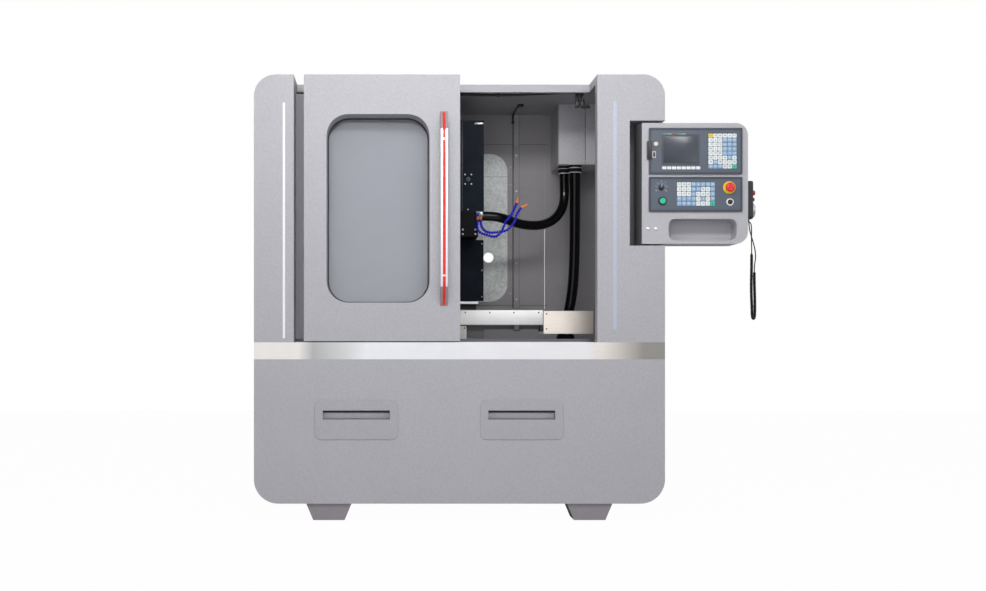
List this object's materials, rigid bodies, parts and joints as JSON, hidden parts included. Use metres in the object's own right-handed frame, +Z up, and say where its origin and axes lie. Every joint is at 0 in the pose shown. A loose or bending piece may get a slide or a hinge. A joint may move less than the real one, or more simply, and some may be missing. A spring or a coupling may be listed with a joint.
{
  "type": "vertical cnc milling machine",
  "caption": "Small vertical milling machine in a grey sheet-steel cabinet with a sliding door, X/Y/Z slides, spindle head, beaded coolant hoses and a swivelling control pod with a hand pendant.",
  "frame": {"origin": "on the floor under the middle of the cabinet, at the centre of the four anchor holes", "axes": "+X to the operator's right, +Y from the front to the back of the cabinet, +Z up"},
  "size_m": [2.1838, 1.1135, 1.918],
  "materials": {
    "paint_grey": "textured paint",
    "paint_interior": "textured paint",
    "navy": "satin",
    "black_paint": "satin",
    "stainless": "brushed",
    "galvanised": "mottled",
    "steel": "ground",
    "cast": "painted casting",
    "frame_paint": "satin",
    "pane": "clear",
    "handle_chrome": "polished",
    "silver": "satin",
    "black_rubber": "glossy",
    "black_plastic": "matte",
    "nylon": "matte",
    "bead_blue": "glossy",
    "slate": "matte",
    "red": "glossy",
    "green": "glossy",
    "orange": "glossy"
  },
  "bodies": {
    "cabinet": {"feet": "paint_grey", "base_frame": "frame_paint", "left_side_panel": "paint_grey", "right_side_panel": "paint_grey", "left_pillar": "paint_grey", "right_pillar": "paint_grey", "pod_recess": "paint_interior", "lower_front_panel": "paint_grey", "pull_plates": "paint_grey", "sill_strip": "stainless", "roof_panel": "paint_grey", "back_panel": "paint_interior", "rear_window_sheets": "galvanised", "floor_pan": "paint_interior", "door_rail": "steel", "machine_base": "cast", "column": "cast", "column_cover": "navy", "drip_strip": "steel", "y_motor": "black_paint", "z_motor": "black_paint", "junction_box": "paint_interior", "floor_boot": "black_rubber", "coolant_tank": "stainless", "conduit_upper": "black_rubber", "conduit_lower": "black_rubber", "header_cable": "black_rubber"},
    "door": {"door_shell": "paint_grey", "door_pane": "pane", "door_carriages": "nylon", "door_handle": "handle_chrome"},
    "saddle_slide": {"saddle": "cast"},
    "table_slide": {"table": "cast", "x_motor_cover": "stainless", "x_motor": "black_paint"},
    "head": {"headstock": "black_paint", "head_cover": "navy", "spindle_motor": "black_paint", "valve_block": "silver", "coolant_hose_a": "bead_blue", "coolant_hose_b": "bead_blue"},
    "spindle_shaft": {"spindle": "steel"},
    "y_leadscrew": {"y_screw": "steel"},
    "x_leadscrew": {"x_screw": "steel"},
    "z_leadscrew": {"z_screw": "steel"},
    "tap_a": {"valve_tap_a": "orange"},
    "tap_b": {"valve_tap_b": "orange"},
    "pod": {"pod_shell": "paint_grey", "display_unit": "slate", "operator_unit": "slate", "pendant_body": "black_plastic", "pendant_cord": "black_rubber", "pendant_coil": "black_rubber"},
    "override": {"override_knob": "black_plastic"},
    "start": {"start_button": "green"},
    "estop": {"estop_button": "red"},
    "key": {"key_switch": "black_plastic"},
    "handwheel": {"pendant_wheel": "silver"},
    "pendant_selector": {"pendant_knob": "black_plastic"},
    "pendant_stop": {"pendant_estop": "red"}
  },
  "joints": [
    {"name": "door_slide", "type": "slide", "parent": "cabinet", "child": "door", "axis": [1, 0, 0], "range_m": [0, 0.586]},
    {"name": "y_slide", "type": "slide", "parent": "cabinet", "child": "saddle_slide", "axis": [0, 1, 0], "range_m": [-0.04, 0.16]},
    {"name": "x_slide", "type": "slide", "parent": "saddle_slide", "child": "table_slide", "axis": [1, 0, 0], "range_m": [-0.2, 0.2]},
    {"name": "z_slide", "type": "slide", "parent": "cabinet", "child": "head", "axis": [0, 0, 1], "range_m": [-0.205, 0.025], "deforming": ["conduit_upper"]},
    {"name": "y_screw_spin", "type": "hinge", "parent": "cabinet", "child": "y_leadscrew", "pos_m": [0, 0, 0.807], "axis": [0, 1, 0], "continuous": true},
    {"name": "x_screw_spin", "type": "hinge", "parent": "table_slide", "child": "x_leadscrew", "pos_m": [0, -0.08, 0.858], "axis": [1, 0, 0], "continuous": true},
    {"name": "z_screw_spin", "type": "hinge", "parent": "cabinet", "child": "z_leadscrew", "pos_m": [0, 0.232, 1.5], "axis": [0, 0, 1], "continuous": true},
    {"name": "spindle_spin", "type": "hinge", "parent": "head", "child": "spindle_shaft", "pos_m": [0, 0.06, 1.3], "axis": [0, 0, 1], "continuous": true},
    {"name": "tap_a_turn", "type": "hinge", "parent": "head", "child": "tap_a", "pos_m": [0.11, -0.043, 1.3415], "axis": [0, -1, 0], "range_deg": [0, 90]},
    {"name": "tap_b_turn", "type": "hinge", "parent": "head", "child": "tap_b", "pos_m": [0.124, -0.043, 1.3415], "axis": [0, -1, 0], "range_deg": [0, 90]},
    {"name": "pod_swing", "type": "hinge", "parent": "cabinet", "child": "pod", "pos_m": [0.832, -0.461, 1.45], "axis": [0, 0, 1], "range_deg": [-75, 30]},
    {"name": "override_turn", "type": "hinge", "parent": "pod", "child": "override", "pos_m": [0.865, -0.544, 1.431], "axis": [0, -1, 0], "range_deg": [-140, 140]},
    {"name": "key_turn", "type": "hinge", "parent": "pod", "child": "key", "pos_m": [1.16, -0.544, 1.368], "axis": [0, -1, 0], "range_deg": [-90, 0]},
    {"name": "start_press", "type": "slide", "parent": "pod", "child": "start", "axis": [0, 1, 0], "range_m": [0, 0.003], "stiffness_N_per_m": 800, "springref_m": -0.001},
    {"name": "estop_press", "type": "slide", "parent": "pod", "child": "estop", "axis": [0, 1, 0], "range_m": [0, 0.005], "stiffness_N_per_m": 1200, "springref_m": -0.001},
    {"name": "wheel_turn", "type": "hinge", "parent": "pod", "child": "handwheel", "pos_m": [1.271, -0.459, 1.339], "axis": [1, 0, 0], "continuous": true},
    {"name": "pendant_knob_turn", "type": "hinge", "parent": "pod", "child": "pendant_selector", "pos_m": [1.271, -0.459, 1.387], "axis": [1, 0, 0], "range_deg": [-120, 120]},
    {"name": "pendant_estop_press", "type": "slide", "parent": "pod", "child": "pendant_stop", "axis": [-1, 0, 0], "range_m": [0, 0.003], "stiffness_N_per_m": 800, "springref_m": -0.001}
  ],
  "couplings": [
    {"joint": "y_screw_spin", "follows": "y_slide", "rad_per_m": 628.32},
    {"joint": "x_screw_spin", "follows": "x_slide", "rad_per_m": 628.32},
    {"joint": "z_screw_spin", "follows": "z_slide", "rad_per_m": 628.32}
  ]
}
